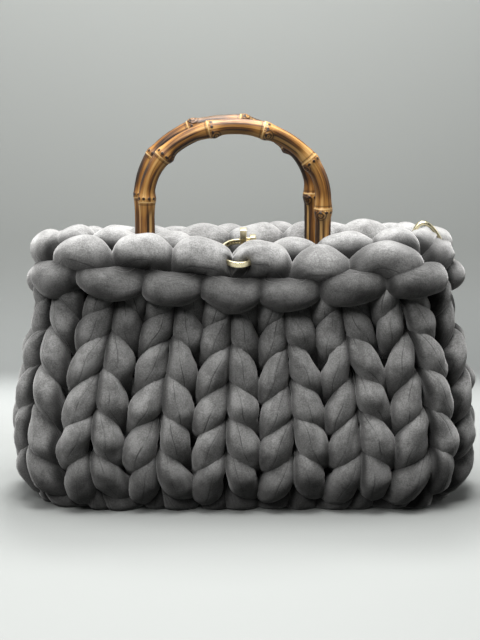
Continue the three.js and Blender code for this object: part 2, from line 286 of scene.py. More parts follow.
def curve_through(rows, steps):
    """Smooth points through rows of numbers, with steps points from each row to the next.

    The end rows only guide the line.
    """
    rows = np.asarray(rows, float)
    a, b, c, d = rows[:-3], rows[1:-2], rows[2:-1], rows[3:]
    t = (np.arange(steps) / steps)[None, :, None]
    a, b, c, d = (part[:, None, :] for part in (a, b, c, d))
    bend = 2 * a - 5 * b + 4 * c - d
    twist = -a + 3 * b - 3 * c + d
    points = 0.5 * (2 * b + (c - a) * t + bend * t**2 + twist * t**3)
    return points.reshape(-1, rows.shape[1])


def round_section(share, half_width, half_depth):
    """Points and outward directions on a rounded rectangle.

    They go by the share of its length, from the middle of its front towards +X.
    """
    corner = CORNER_SHARE * half_depth
    flat_x = half_width - corner
    flat_y = half_depth - corner
    arc = math.pi / 2 * corner
    wrapped = np.mod(share, 1) * 4
    quadrant = np.minimum(np.floor(wrapped), 3)
    quarter = flat_x + flat_y + arc
    into = (wrapped - quadrant) * quarter
    along = np.where(quadrant % 2 == 1, quarter - into, into)
    angle = np.clip((along - flat_x) / corner, 0, math.pi / 2)
    past = np.maximum(along - flat_x - arc, 0)
    sign_x = np.where(quadrant < 2, 1, -1)
    sign_y = np.where((quadrant == 0) | (quadrant == 3), -1, 1)
    normal = np.stack([sign_x * np.sin(angle), sign_y * np.cos(angle)], axis=-1)
    x = sign_x * (np.minimum(along, flat_x) + corner * np.sin(angle))
    y = sign_y * (flat_y + corner * np.cos(angle) - past)
    return np.stack([x, y], axis=-1), normal


def section_length(half_width, half_depth):
    """The length round a rounded rectangle."""
    corner = CORNER_SHARE * half_depth
    return 4 * (half_width + half_depth - 2 * corner) + 2 * math.pi * corner


def smooth_step(value, low, high):
    """0 where a value is low, 1 where it is high, and a smooth rise between them."""
    share = np.clip((value - low) / (high - low), 0, 1)
    return share * share * (3 - 2 * share)


def bell(off, spread, steepness=2):
    """1 at no distance, falling to 0 past the spread."""
    return np.exp(-((off / spread) ** steepness))


def run_along(points):
    """The distance along a line to each of its points."""
    return np.concatenate([[0], np.cumsum(np.linalg.norm(np.diff(points, axis=0), axis=1))])


def full_turn(steps):
    """Angles that share out one full turn."""
    return 2 * math.pi * np.arange(steps) / steps


def unit(vectors):
    """Vectors of the same ways, one long."""
    return vectors / np.linalg.norm(vectors, axis=-1, keepdims=True)


FrontDip = namedtuple("FrontDip", "x spread depth lift half_depth low_z high_z")
FRONT_DIP = FrontDip(0.012, 0.072, 0.0105, 0.004, 0.045, 0.015, 0.110)


def dipped(points):
    """Points of the knit after its front has sagged towards its middle."""
    x, y, z = points[:, 0], points[:, 1], points[:, 2]
    front = smooth_step(-y, -FRONT_DIP.half_depth, FRONT_DIP.half_depth)
    share = front * smooth_step(z, FRONT_DIP.low_z, FRONT_DIP.high_z)
    sag = FRONT_DIP.depth * bell(x - FRONT_DIP.x, FRONT_DIP.spread) - FRONT_DIP.lift
    return np.column_stack([x, y, z - share * sag])


wall_guides = [WALL_SECTIONS[0]] + WALL_SECTIONS + [WALL_SECTIONS[-1]]
wall_line = curve_through(wall_guides, SECTION_STEPS)
wall_run = run_along(wall_line)
wall_start = wall_run[FIRST_SECTION * SECTION_STEPS]
wall_length = wall_run[LAST_SECTION * SECTION_STEPS] - wall_start
wall_slope = np.gradient(wall_line, wall_run, axis=0)
course_height = wall_length / COURSES
column_length = section_length(COLUMN_SECTION.half_width, COLUMN_SECTION.half_depth)
column_shift = FRONT_COLUMN_X / column_length


def wall_points(stitch, course, lift):
    """Points off the wall and its outward directions, by stitch round it, course up it and lift from it."""
    run = wall_start + course * course_height
    stitch = stitch - FAN * (course - FAN_COURSE) * np.sin(2 * math.pi * FAN_SIDES * stitch / STITCHES)
    size = [np.interp(run, wall_run, wall_line[:, i]) for i in range(3)]
    slope = [np.interp(run, wall_run, wall_slope[:, i]) for i in range(3)]
    place, flat_normal = round_section(column_shift + stitch / STITCHES, size[0], size[1])
    spread = slope[0] * flat_normal[:, 0] ** 2 + slope[1] * flat_normal[:, 1] ** 2
    normal = unit(np.column_stack([slope[2][:, None] * flat_normal, -spread]))
    lift = lift + FOOT_BULGE * bell(course - FOOT_COURSE, FOOT_SPREAD)
    return dipped(np.column_stack([place, size[2]]) + lift[:, None] * normal), normal


# a way that no yarn runs, to start its frames from
STRAY_WAY = (0.31, 0.57, 0.76)


def carried_frames(centres):
    """Two directions across a closed line at each point, carried along it without twisting and joined up."""
    tangents = unit(np.roll(centres, -1, axis=0) - np.roll(centres, 1, axis=0))
    across = [unit(np.cross(tangents[0], STRAY_WAY))]
    for tangent in np.roll(tangents, -1, axis=0):
        across.append(unit(across[-1] - tangent * (across[-1] @ tangent)))
    over = np.cross(tangents[0], across[0])
    slip = math.atan2(across[-1] @ over, across[-1] @ across[0])
    turn = (-slip * np.arange(len(centres)) / len(centres))[:, None]
    across = np.array(across[:-1])
    across = across * np.cos(turn) + np.cross(tangents, across) * np.sin(turn)
    return across, np.cross(tangents, across)


# the corners of a face, taken the other way round
FLIPPED = [0, 3, 2, 1]


def ring_faces(rings, sides):
    """Faces of a tube of rings of points that joins up with itself."""
    ring, side = np.meshgrid(np.arange(rings), np.arange(sides), indexing="ij")
    next_ring, next_side = (ring + 1) % rings, (side + 1) % sides
    corners = [(ring, side), (next_ring, side), (next_ring, next_side), (ring, next_side)]
    return np.stack([a * sides + b for a, b in corners], axis=-1).reshape(-1, 4)


def new_piece(name, points, faces, material, caps=()):
    """A piece of one material that rides on the bag, smooth apart from its caps."""
    mesh = bpy.data.meshes.new(name)
    mesh.from_pydata(points.tolist(), [], [*faces, *caps])
    mesh.polygons.foreach_set("use_smooth", [True] * len(faces) + [False] * len(caps))
    mesh.materials.append(material)
    piece = bpy.data.objects.new(name, mesh)
    bpy.context.scene.collection.objects.link(piece)
    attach(piece, "root")
    return piece


def carry_uv(piece, name, first, second):
    """Lay a UV map over the corners of a piece's faces, and leave its caps at zero."""
    uv = np.zeros((len(piece.data.loops), 2))
    uv[: first.size] = np.column_stack([first.ravel(), second.ravel()])
    piece.data.uv_layers.new(name=name).data.foreach_set("uv", uv.ravel())


def carry_values(piece, **values):
    """Give a piece's points the values that its material reads."""
    for name, numbers in values.items():
        piece.data.attributes.new(name, "FLOAT", "POINT").data.foreach_set("value", numbers)


YARN_SEED = 4
LUMP_WAVES = 14
LUMP_PITCH = (0.016, 0.040)
LUMP_HEIGHT = 0.00032
PLEATS = 8
PLEAT_DEPTH = 0.085
PINCH_RADIUS = 0.0095
FULL_RADIUS = 0.0055
SEAM_DRIFT = 0.03
SEAM_WAVE = 0.11
SEAM_OVERTONE = 3
# painted shade and light on the velvet: darkest within the first distance from the cores, lightest past the
# second
CREASE_SHADE_FROM = 0.0132
CROWN_LIGHT_FROM = 0.0250
# painted shade near the floor: the share of painted light kept at the floor, and the height up to which it
# fades in
FOOT_SHADE = 0.40
FOOT_SHADE_HEIGHT = 0.070
# painted shade where lobes meet: the share of painted light kept there, and the distance over which it fades
# in
JOIN_SHADE = 0.05
JOIN_SHADE_REACH = 0.0048
Row = namedtuple("Row", "share way pitch")
draw = np.random.default_rng(YARN_SEED)
lump_pitch = draw.uniform(*LUMP_PITCH, LUMP_WAVES)
lump_ways = unit(draw.normal(size=(LUMP_WAVES, 3))) * (2 * math.pi / lump_pitch)[:, None]
lump_starts = draw.uniform(0, 2 * math.pi, LUMP_WAVES)


def yarn_piece(name, centres, radii, outward, cores, sides, gather=0, ease=None, painted_shading=1, row=None):
    """A stuffed tube along a closed line, as a velvet piece.

    Its UV runs along it in metres, and round it in turns from the seam on its outward side.
    The value that its material reads for painted light and shade is 1 where it stands far out from the cores,
    as painted light on the crowns, and 0 in the creases, as painted shade.
    It is pleated where gather is 1 or the yarn is thin, and ease moves its points clear of hard pieces.
    Its colour is painted darker, as painted shade, near the floor, beside the whole shares of its row where
    lobes meet, and over the whole piece where its shading argument is below 1; above 1 it is painted lighter.
    """
    across, over = carried_frames(centres)
    facing = np.unwrap(np.arctan2((outward * over).sum(1), (outward * across).sum(1)))
    turn = full_turn(sides)
    from_outward = turn[None, :] - facing[:, None]
    pinch = np.maximum(1 - smooth_step(radii, FULL_RADIUS, PINCH_RADIUS), gather)
    pleats = 1 - PLEAT_DEPTH * pinch[:, None] * np.cos(PLEATS * from_outward)
    reach = radii[:, None] * pleats
    ways = np.cos(turn)[None, :, None] * across[:, None, :] + np.sin(turn)[None, :, None] * over[:, None, :]
    points = centres[:, None, :] + reach[:, :, None] * ways
    lumps = np.sin(points @ lump_ways.T + lump_starts).sum(axis=-1)
    points = (points + (LUMP_HEIGHT * lumps)[:, :, None] * ways).reshape(-1, 3)
    if ease is not None:
        points = ease(points)
    points[:, 2] = np.maximum(points[:, 2], FLOOR_REST)

    faces = ring_faces(len(centres), sides)[:, FLIPPED]
    ring, side = np.divmod(faces[:, 0], sides)
    run = run_along(np.vstack([centres, centres[:1]]))
    cycles = 2 * math.pi * np.round(run[-1] / SEAM_WAVE) / run[-1]
    drift = SEAM_DRIFT * np.sin(cycles * run[:-1]) * np.cos(SEAM_OVERTONE * cycles * run[:-1])
    turns = from_outward / (2 * math.pi) + drift[:, None]
    end_turns = np.roll(turns, -1, axis=0)
    end_turns -= np.round(end_turns[:, :1] - turns[:, :1])
    near, far, step = turns[ring, side], end_turns[ring, side], 1 / sides

    # painted light on the crowns and painted shade in the creases, scaled per piece
    crown = painted_shading * smooth_step(np.linalg.norm(points - np.repeat(cores, sides, axis=0), axis=1), CREASE_SHADE_FROM, CROWN_LIGHT_FROM)
    # painted shade near the floor
    crown *= FOOT_SHADE + (1 - FOOT_SHADE) * smooth_step(points[:, 2], FLOOR_REST, FOOT_SHADE_HEIGHT)
    if row is not None:
        from_centre = points - np.repeat(centres, sides, axis=0)
        aside = (from_centre * np.repeat(row.way, sides, axis=0)).sum(1)
        share = np.repeat(row.share, sides) + aside / row.pitch
        off_seam = np.abs(share - np.round(share)) * row.pitch
        # painted shade where lobes meet
        crown *= JOIN_SHADE + (1 - JOIN_SHADE) * smooth_step(off_seam, 0, JOIN_SHADE_REACH)

    piece = new_piece(name, points, faces.tolist(), velvet)
    along_yarn = run[ring[:, None] + (0, 0, 1, 1)]
    carry_uv(piece, "yarn", along_yarn, np.stack([near, near + step, far + step, far], axis=-1))
    carry_values(piece, pinch=np.repeat(pinch, sides), crown=crown)
    return piece


YarnPoint = namedtuple("YarnPoint", "across up lift radius")
STITCH_PATH = [
    YarnPoint(-0.500, -0.46, -0.0165, 0.0115),
    YarnPoint(-0.200, -0.38, -0.0155, 0.0080),
    YarnPoint(-0.042, -0.10, -0.0140, 0.0060),
    YarnPoint(-0.080, 0.14, -0.0104, 0.0070),
    YarnPoint(-0.139, 0.36, -0.0058, 0.0089),
    YarnPoint(-0.187, 0.57, -0.0016, 0.0105),
    YarnPoint(-0.236, 0.81, 0.0014, 0.0119),
    YarnPoint(-0.279, 1.06, 0.0036, 0.0120),
    YarnPoint(-0.322, 1.30, 0.0048, 0.0104),
    YarnPoint(-0.370, 1.52, 0.0038, 0.0078),
    YarnPoint(-0.398, 1.68, -0.0004, 0.0055),
    YarnPoint(-0.380, 1.79, -0.0085, 0.0052),
    YarnPoint(-0.260, 1.90, -0.0140, 0.0072),
    YarnPoint(0.000, 2.00, -0.0160, 0.0105),
    YarnPoint(0.270, 1.89, -0.0145, 0.0070),
    YarnPoint(0.392, 1.73, -0.0092, 0.0053),
    YarnPoint(0.396, 1.56, 0.0006, 0.0060),
    YarnPoint(0.346, 1.33, 0.0046, 0.0085),
    YarnPoint(0.281, 1.00, 0.0040, 0.0111),
    YarnPoint(0.219, 0.68, 0.0014, 0.0122),
    YarnPoint(0.170, 0.42, -0.0032, 0.0107),
    YarnPoint(0.107, 0.20, -0.0086, 0.0082),
    YarnPoint(0.046, -0.06, -0.0140, 0.0062),
]
WALL_CORE = -0.0115
WIDENING = 0.040
STITCH_SPREAD = YarnPoint(0.006, 0.022, 0.0005, 0.00035)
POINT_SPREAD = YarnPoint(0.0020, 0.006, 0.00015, 0.00012)
# the last round hangs lower and fuller under the rim
LAST_ROUND = YarnPoint(0, -0.14, 0.0025, 0.0003)
STITCH_LEGS = 2
leg_pitch = column_length / STITCHES / STITCH_LEGS

# rows at the ends of a curve that only guide it
GUIDE_ROWS = 3


def closed_path(points, shifts, steps):
    """A closed line through points that repeat at every stitch, each moved by its own shift."""
    rows = []
    for stitch in range(-1, STITCHES + 1):
        for point, shift in zip(points, shifts[stitch % STITCHES]):
            rows.append(np.array((stitch + point[0], *point[1:])) + shift)
    lead = len(points) - 1
    return curve_through(rows[lead : lead + STITCHES * len(points) + GUIDE_ROWS], steps)


for course in range(FIRST_COURSE, COURSES):
    shifts = draw.normal(size=(STITCHES, len(STITCH_PATH), len(POINT_SPREAD))) * np.array(POINT_SPREAD)
    shifts += draw.normal(size=(STITCHES, 1, len(STITCH_SPREAD))) * np.array(STITCH_SPREAD)
    if course == COURSES - 1:
        shifts += np.array(LAST_ROUND)
    stitch, up, lift, radius = closed_path(STITCH_PATH, shifts, STEPS_PER_POINT).T
    up = up + course + COURSE_PHASE
    rise = np.minimum(up, TOP_COURSE)
    centres, outward = wall_points(stitch, rise, lift)
    cores, _ = wall_points(stitch, rise, np.full(len(stitch), WALL_CORE))
    radii = radius * (1 + WIDENING * (FAN_COURSE - up))
    row = Row(STITCH_LEGS * stitch, unit(np.cross((0, 0, 1), outward)), leg_pitch)
    name = f"knit_round_{course - FIRST_COURSE + 1}"
    piece = yarn_piece(name, centres, radii, outward, cores, KNIT_SIDES, row=row)
    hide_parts("knit_body")

# Underside: the first rounds of the knitting, closed up to the middle and pressed flat by the bag's weight.
# The same padded velvet yarn lies here in long narrow rounds, one inside the other.
BASE_RADIUS = 0.0105
BASE_HEIGHT = 0.0085
BASE_SWELL = 0.05
BASE_SWELLS = 11
BASE_STEPS = 160
BaseRound = namedtuple("BaseRound", "half_width half_depth")
BASE_ROUNDS = [BaseRound(0.121, 0.024), BaseRound(0.103, 0.0075)]
base_share = np.arange(BASE_STEPS) / BASE_STEPS
for i, base_round in enumerate(BASE_ROUNDS):
    place, _ = round_section(base_share, *base_round)
    centres = np.column_stack([place, np.full(BASE_STEPS, BASE_HEIGHT)])
    outward = np.tile((0.0, 0.0, -1.0), (BASE_STEPS, 1))
    radii = BASE_RADIUS * (1 + BASE_SWELL * np.sin(2 * math.pi * BASE_SWELLS * base_share))
    cores = centres + (0, 0, BASE_HEIGHT)
    piece = yarn_piece(f"base_round_{i + 1}", centres, radii, outward, cores, KNIT_SIDES)
    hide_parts("knit_body")

# Rim: the cast-off chain round the mouth, worked from the same yarn as three plaited strands.
# Each strand swells between two crossings and dives under the others at them.
RIM = WallSection(0.145, 0.048, 0.190)
RIM_STEPS = 9
RimPoint = namedtuple("RimPoint", "along out up radius")
RIM_STRANDS = {
    "upper": [
        RimPoint(-0.50, -0.0085, -0.0085, 0.0086),
        RimPoint(-0.37, 0.0025, -0.0005, 0.0112),
        RimPoint(-0.14, 0.0054, 0.0076, 0.0146),
        RimPoint(0.14, 0.0054, 0.0076, 0.0146),
        RimPoint(0.37, 0.0015, -0.0005, 0.0112),
    ],
    "lower": [
        RimPoint(0.00, -0.0070, -0.0030, 0.0088),
        RimPoint(0.13, 0.0074, -0.0096, 0.0110),
        RimPoint(0.36, 0.0124, -0.0138, 0.0132),
        RimPoint(0.64, 0.0124, -0.0138, 0.0132),
        RimPoint(0.87, 0.0072, -0.0096, 0.0110),
    ],
    "inner": [
        RimPoint(0.00, -0.0045, 0.0000, 0.0098),
        RimPoint(0.17, -0.0078, 0.0080, 0.0122),
        RimPoint(0.38, -0.0090, 0.0120, 0.0138),
        RimPoint(0.62, -0.0090, 0.0120, 0.0138),
        RimPoint(0.83, -0.0078, 0.0080, 0.0122),
    ],
}
RIM_SPREAD = RimPoint(0.008, 0.0005, 0.0005, 0.0003)
# how far the front lobes of the upper strand stand above the sag of the rim, by stitch from the front column
UPPER_LIFTS = {-3: -0.002, -2: 0.003, -1: 0.003, 0: 0.004, 1: -0.004, 2: -0.005, 3: -0.006}
# the inner strand is pressed flat where the closure ring passes over it
PRESSED_STITCH = -1
PRESSED = RimPoint(0, -0.0010, -0.0100, -0.0035)
# how far each strand has slipped along the rim's right end, by stitch from the front column
RIM_SLIPS = {
    "upper": ((1.5, 2.0, 2.5, 3.0, 3.5, 4.5), (0, 0.15, 0.27, 0.30, 0.20, 0)),
    "lower": ((1.0, 2.0, 2.5, 3.0, 4.0), (0, 0.12, 0.14, 0.10, 0)),
    "inner": ((2.0, 3.0, 3.5, 4.0), (0, -0.20, -0.12, 0)),
}
# the inner strand is pushed out where the strap ring holds it
HELD_STITCH = 3
HELD = RimPoint(0, 0.0035, -0.0008, 0.0002)
rim_length = section_length(RIM.half_width, RIM.half_depth)
rim_shift = FRONT_COLUMN_X / rim_length
lobe_pitch = rim_length / STITCHES
# the rim's back sags, more towards the left
REAR_SAG = 0.0045
REAR_TILT = 0.02


def settled(points):
    """Points of the rim after its front and its back have sagged."""
    rear = smooth_step(points[:, 1], -FRONT_DIP.half_depth, FRONT_DIP.half_depth)
    return dipped(points) - np.outer(rear * (REAR_SAG - REAR_TILT * points[:, 0]), (0, 0, 1))


# the two gold rings that hold the rim, as ovals: in their own plane, turned about X or Y, then put in place
Oval = namedtuple("Oval", "place half_a half_b turn_axis turn_deg clear")
CLOSURE_OVAL = Oval((-0.004, -0.043, 0.200), 0.014, 0.022, "X", 15, 0.0030)
STRAP_OVAL = Oval((0.1455, -0.007, 0.1865), 0.013, 0.0322, "Y", -13, 0.0026)
EASE_REACH = 0.0055
EASE_FADE = (1.35, 1.9)
# the rings that squeeze each strand
RIM_RINGS = {"upper": (CLOSURE_OVAL, STRAP_OVAL), "lower": (), "inner": (CLOSURE_OVAL, STRAP_OVAL)}
GATHER_REACH = 0.015
GATHER_SQUEEZE = 0.16
GATHER_WAYS = {"X": np.array((1, 0.5, 0)), "Y": np.array((0.4, 1, 0))}
RIM_SIDES = 44
# which way each strand's sewn seam faces, outwards and up
RIM_SEAM = {"upper": (0.95, -0.31), "lower": (0.50, 0.87), "inner": (-0.50, -0.87)}
# painted light and shade per strand: the lower strand is painted darker and the upper and inner strands a
# little lighter
RIM_SHADING = {"upper": 1.06, "lower": 0.38, "inner": 1.06}


def oval_turn(oval):
    """The matrix that turns an oval out of its own plane."""
    return np.array(Matrix.Rotation(math.radians(oval.turn_deg), 3, oval.turn_axis))


def oval_points(oval, angle, out, aside):
    """Points by the angle round an oval, out from it in its plane, and aside from that plane."""
    normal = unit(np.stack([oval.half_b * np.cos(angle), oval.half_a * np.sin(angle)], axis=-1))
    first = oval.half_a * np.cos(angle) + normal[..., 0] * out
    second = oval.half_b * np.sin(angle) + normal[..., 1] * out
    flat = (first, second, aside) if oval.turn_axis == "X" else (first, aside, second)
    return np.stack(np.broadcast_arrays(*flat), axis=-1) @ oval_turn(oval).T + np.array(oval.place)


def eased(points):
    """Points of soft yarn, squeezed in by the two rings that hold it."""
    for oval in (CLOSURE_OVAL, STRAP_OVAL):
        turn = oval_turn(oval)
        flat = (points - np.array(oval.place)) @ turn
        first, second, aside = (0, 1, 2) if oval.turn_axis == "X" else (0, 2, 1)
        share_a = flat[:, first] / (oval.half_a - oval.clear)
        share_b = flat[:, second] / (oval.half_b - oval.clear)
        reach = np.hypot(share_a, share_b)
        near = bell(flat[:, aside], EASE_REACH) * (1 - smooth_step(reach, *EASE_FADE))
        squeeze = 1 - near * (1 - 1 / np.maximum(reach, 1))
        flat[:, first] *= squeeze
        flat[:, second] *= squeeze
        points = flat @ turn.T + np.array(oval.place)
    return points


for strand, lobe in RIM_STRANDS.items():
    shifts = draw.normal(size=(STITCHES, len(lobe), len(RIM_SPREAD))) * np.array(RIM_SPREAD)
    if strand == "upper":
        for stitch, lift in UPPER_LIFTS.items():
            shifts[stitch, 1:] += RimPoint(0, 0, lift, 0)
    if strand == "inner":
        shifts[PRESSED_STITCH, 1:] += PRESSED
        shifts[HELD_STITCH, 1:] += HELD
    along, out, up, radius = closed_path(lobe, shifts, RIM_STEPS).T
    slipped = along + np.interp(along, *RIM_SLIPS[strand])
    place, flat_normal = round_section(rim_shift + slipped / STITCHES, RIM.half_width, RIM.half_depth)
    centres = settled(np.column_stack([place + out[:, None] * flat_normal, RIM.height + up]))
    cores = settled(np.column_stack([place, np.full(len(place), RIM.height)]))
    seam_out, seam_up = RIM_SEAM[strand]
    outward = np.column_stack([seam_out * flat_normal, np.full(len(place), seam_up)])
    gather = np.zeros(len(place))
    for oval in RIM_RINGS[strand]:
        away = np.linalg.norm((centres - np.array(oval.place)) * GATHER_WAYS[oval.turn_axis], axis=1)
        gather = np.maximum(gather, bell(away, GATHER_REACH))
    radii = radius * (1 - GATHER_SQUEEZE * gather)
    row_way = np.column_stack([-flat_normal[:, 1], flat_normal[:, 0], np.zeros(len(place))])
    piece = yarn_piece(
        f"rim_{strand}", centres, radii, outward, cores, RIM_SIDES,
        gather=gather, ease=eased if RIM_RINGS[strand] else None, painted_shading=RIM_SHADING[strand],
        row=Row(along - lobe[0].along, row_way, lobe_pitch),
    )
    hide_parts("rim_braid")

# Lashings: a thinner end of the same velvet yarn, wound twice round each handle leg and the rim's inner
# strand. Its ends are tucked into the plait.
LASH_HALF_X = 0.0105
LASH_HALF_Y = 0.0150
LASH_OUTWARD = 0.0055
LASH_HEIGHT = 0.184
LASH_RISE = 0.0040
LASH_RADIUS = 0.0042
LASH_WINDS = 2
LASH_STEPS = 120
LASH_SIDES = 20
LEG_Y = 0.023
HandleLeg = namedtuple("HandleLeg", "name x side")
HANDLE_LEGS = [
    HandleLeg("front_left", -0.0745, -1),
    HandleLeg("front_right", 0.0605, -1),
    HandleLeg("back_left", -0.081, 1),
    HandleLeg("back_right", 0.054, 1),
]

wound = 2 * math.pi * LASH_WINDS * np.arange(LASH_STEPS) / LASH_STEPS
for leg in HANDLE_LEGS:
    middle = np.array((leg.x, leg.side * (LEG_Y + LASH_OUTWARD), LASH_HEIGHT))
    lash_rise = LASH_RISE * np.sin(wound / LASH_WINDS)
    centres = middle + np.column_stack([LASH_HALF_X * np.cos(wound), LASH_HALF_Y * np.sin(wound), lash_rise])
    cores = np.tile(middle, (LASH_STEPS, 1))
    outward = np.tile((0.0, 0.0, -1.0), (LASH_STEPS, 1))
    radii = np.full(LASH_STEPS, LASH_RADIUS)
    piece = yarn_piece(f"lashing_{leg.name}", centres, radii, outward, cores, LASH_SIDES)
    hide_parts("rim_braid")

# Handles: two canes of root bamboo, steamed and bent into an arch, then stained and lacquered.
# Every joint of a cane has a raised pale ring, root scars and a bud scar, and streaks run between the joints.
# The legs stand inside the rim, lashed to it.
HANDLE_HALF_WIDTH = 0.0675
HANDLE_ARCH_HEIGHT = 0.055
HANDLE_ARCH_Z = 0.239
HANDLE_FOOT_Z = 0.168
ARCH_STEPS = 400
CANE_RADIUS = 0.0060
CANE_RINGS = 460
CANE_SIDES = 44
CANE_AMBER = (0.370, 0.175, 0.040, 1)
CANE_BROWN = (0.150, 0.058, 0.013, 1)
CANE_DARK = (0.022, 0.010, 0.004, 1)
CANE_STRAW = (0.560, 0.330, 0.115, 1)
CANE_PALE = (0.640, 0.430, 0.185, 1)

CaneJoint = namedtuple("CaneJoint", "share bud_deg grooved")
# the fourth value of a cane is painted shade, which makes the whole back cane darker
Cane = namedtuple("Cane", "name x y stain joints")
# bud_deg: where the bud sits round the cane, from the front towards the inside of the arch
CANES = [
    Cane("handle_front", -0.007, -0.023, 0.0, [
        CaneJoint(0.050, 35, 1.0), CaneJoint(0.205, 150, 0.0), CaneJoint(0.315, 60, 0.8),
        CaneJoint(0.440, 50, 0.3), CaneJoint(0.565, 22, 1.0), CaneJoint(0.690, 60, 0.2),
        CaneJoint(0.810, 18, 1.0), CaneJoint(0.950, 180, 0.0),
    ]),
    Cane("handle_back", -0.0135, 0.023, 0.09, [
        CaneJoint(0.060, 180, 1.0), CaneJoint(0.200, 200, 0.6), CaneJoint(0.300, 110, 0.5),
        CaneJoint(0.410, -70, 0.2), CaneJoint(0.530, -60, 1.0), CaneJoint(0.650, 100, 0.6),
        CaneJoint(0.790, 40, 1.0), CaneJoint(0.940, 10, 0.0),
    ]),
]

SMUDGE_WAVES = (140, 140, 140)
SCRATCH_WAVES = (1500, 1500, 1500)
wear = bpy.data.node_groups.new("handled_wear", "ShaderNodeTree")
for socket, value in (("Roughness", 0.3), ("Smudge", 0.1)):
    wear.interface.new_socket(socket, in_out="INPUT", socket_type="NodeSocketFloat").default_value = value
for socket in ("Roughness", "Scratches"):
    wear.interface.new_socket(socket, in_out="OUTPUT", socket_type="NodeSocketFloat")
wear_in = add_node(wear.nodes, "NodeGroupInput")
wear_out = add_node(wear.nodes, "NodeGroupOutput")
wear_place = object_place(wear)
wear_smudge = add_noise(wear, wear_place, SMUDGE_WAVES, detail=4, roughness=0.6)
wear_scratch = add_noise(wear, wear_place, SCRATCH_WAVES, detail=2)
wear_shift = add_math(wear, "SUBTRACT", wear_smudge, 0.5)
wear_rough = weighed_sum(wear, wear_in.outputs["Roughness"], (wear_shift, wear_in.outputs["Smudge"]))
wear.links.new(wear_rough, wear_out.inputs["Roughness"])
wear.links.new(wear_scratch, wear_out.inputs["Scratches"])

STREAK_WAVES = (9, 7, 1)
FIBRE_WAVES = (30, 34, 1)
BURN_REACH = (0.004, 0.014)
BURN_TONE = (0.06, -0.05)
SCARS_ROUND = 10
SCAR_PLACE = 0.0028
SCAR_EDGE = (0.00072, 0.00144)
RING_EDGE = (0.0002, 0.0007)
LINE_PLACE = -0.0019
LINE_EDGE = (0.0001, 0.0009)
EYE_RING = 0.0019
EYE_EDGE = (0.0034, 0.0050)
FRAY_NOISE = (0.36, 0.60)
STRIP_EDGE = (0.0009, 0.0016)
GROOVE_EDGE = (0.0022, 0.0044)


def bamboo_finish():
    """Stained and lacquered bamboo."""
    material, tree, shader = new_material(
        "bamboo", Coat_Weight=0.1, Coat_Roughness=0.22, Specular_IOR_Level=0.35,
    )
    worn = add_node(tree.nodes, "ShaderNodeGroup", node_tree=wear, Roughness=0.50, Smudge=0.3)
    tree.links.new(worn.outputs["Roughness"], shader.inputs["Roughness"])

    # streaks along the cane that change at each joint, paler beside it and burnt darker away from it
    cane = uv_place(tree, "cane")
    streak = add_noise(tree, cane, STREAK_WAVES, detail=4, roughness=0.6)
    fibre = add_noise(tree, cane, FIBRE_WAVES, detail=3, roughness=0.6)
    off, turn, _ = split_vector(tree, uv_place(tree, "joint"))
    near = add_math(tree, "ABSOLUTE", off)
    burn = add_fade(tree, near, *BURN_REACH, *BURN_TONE)
    # painted shade, which makes the back cane's colour darker all over
    stain = carried_value(tree, "stain")
    tone = weighed_sum(tree, -0.29, (fibre, 0.30), (streak, 1.25), (burn, 1), (stain, -1))
    colour = tone_ramp(
        tree, tone, (0.30, CANE_DARK), (0.42, CANE_BROWN), (0.54, CANE_AMBER), (0.70, CANE_STRAW)
    )

    # pale ring, dark line and dark root scars at each joint, from the distance along the cane to it
    ring = add_fade(tree, near, *RING_EDGE, 0.8, 0)
    cell = math_chain(
        tree, turn, ("MULTIPLY", SCARS_ROUND), ("FRACT",), ("SUBTRACT", 0.5),
        ("MULTIPLY", 2 * math.pi * CANE_RADIUS / SCARS_ROUND),
    )
    cell = add_math(tree, "MULTIPLY", cell, cell)
    scar = add_math(tree, "SUBTRACT", off, SCAR_PLACE)
    scar = math_chain(tree, scar, ("MULTIPLY_ADD", scar, cell), ("SQRT",))
    scar = add_fade(tree, scar, *SCAR_EDGE, 1, 0)
    line = math_chain(tree, off, ("SUBTRACT", LINE_PLACE), ("ABSOLUTE",))
    line = add_fade(tree, line, *LINE_EDGE, 0.55, 0)

    # bud scar: an eye of rings, from the distance over the surface to the bud's middle
    bud = uv_place(tree, "bud")
    reach = add_node(tree.nodes, "ShaderNodeVectorMath", operation="LENGTH")
    tree.links.new(bud, reach.inputs[0])
    eye = math_chain(
        tree, reach.outputs["Value"],
        ("MULTIPLY", 2 * math.pi / EYE_RING), ("COSINE",), ("MULTIPLY_ADD", 0.45, 0.45),
    )
    inside = add_fade(tree, reach.outputs["Value"], *EYE_EDGE, 1, 0)
    eye = add_math(tree, "MULTIPLY", eye, inside)

    # groove above each bud: a straw-coloured strip with dark frayed edges
    _, aside, _ = split_vector(tree, bud)
    aside = add_math(tree, "ABSOLUTE", aside)
    fray = add_fade(tree, fibre, *FRAY_NOISE, 0.35, 1)
    above = add_math(tree, "MULTIPLY", carried_value(tree, "grooved"), fray)
    strip = add_fade(tree, aside, *STRIP_EDGE, 0.9, 0)
    strip = add_math(tree, "MULTIPLY", strip, above)
    groove = add_fade(tree, aside, *GROOVE_EDGE, 0.95, 0)
    groove = add_math(tree, "MULTIPLY", groove, above)
    for mask, tint in (
        (groove, CANE_DARK), (strip, CANE_STRAW), (ring, CANE_PALE),
        (line, CANE_DARK), (scar, CANE_DARK), (eye, CANE_DARK),
    ):
        colour = mix_colour(tree, mask, colour, tint)
    tree.links.new(colour, shader.inputs["Base Color"])
    height = weighed_sum(tree, fibre, (scar, -1.6), (eye, -1.2))
    add_bump(tree, shader, height, strength=0.5, distance=0.0005)
    return material


bamboo = bamboo_finish()

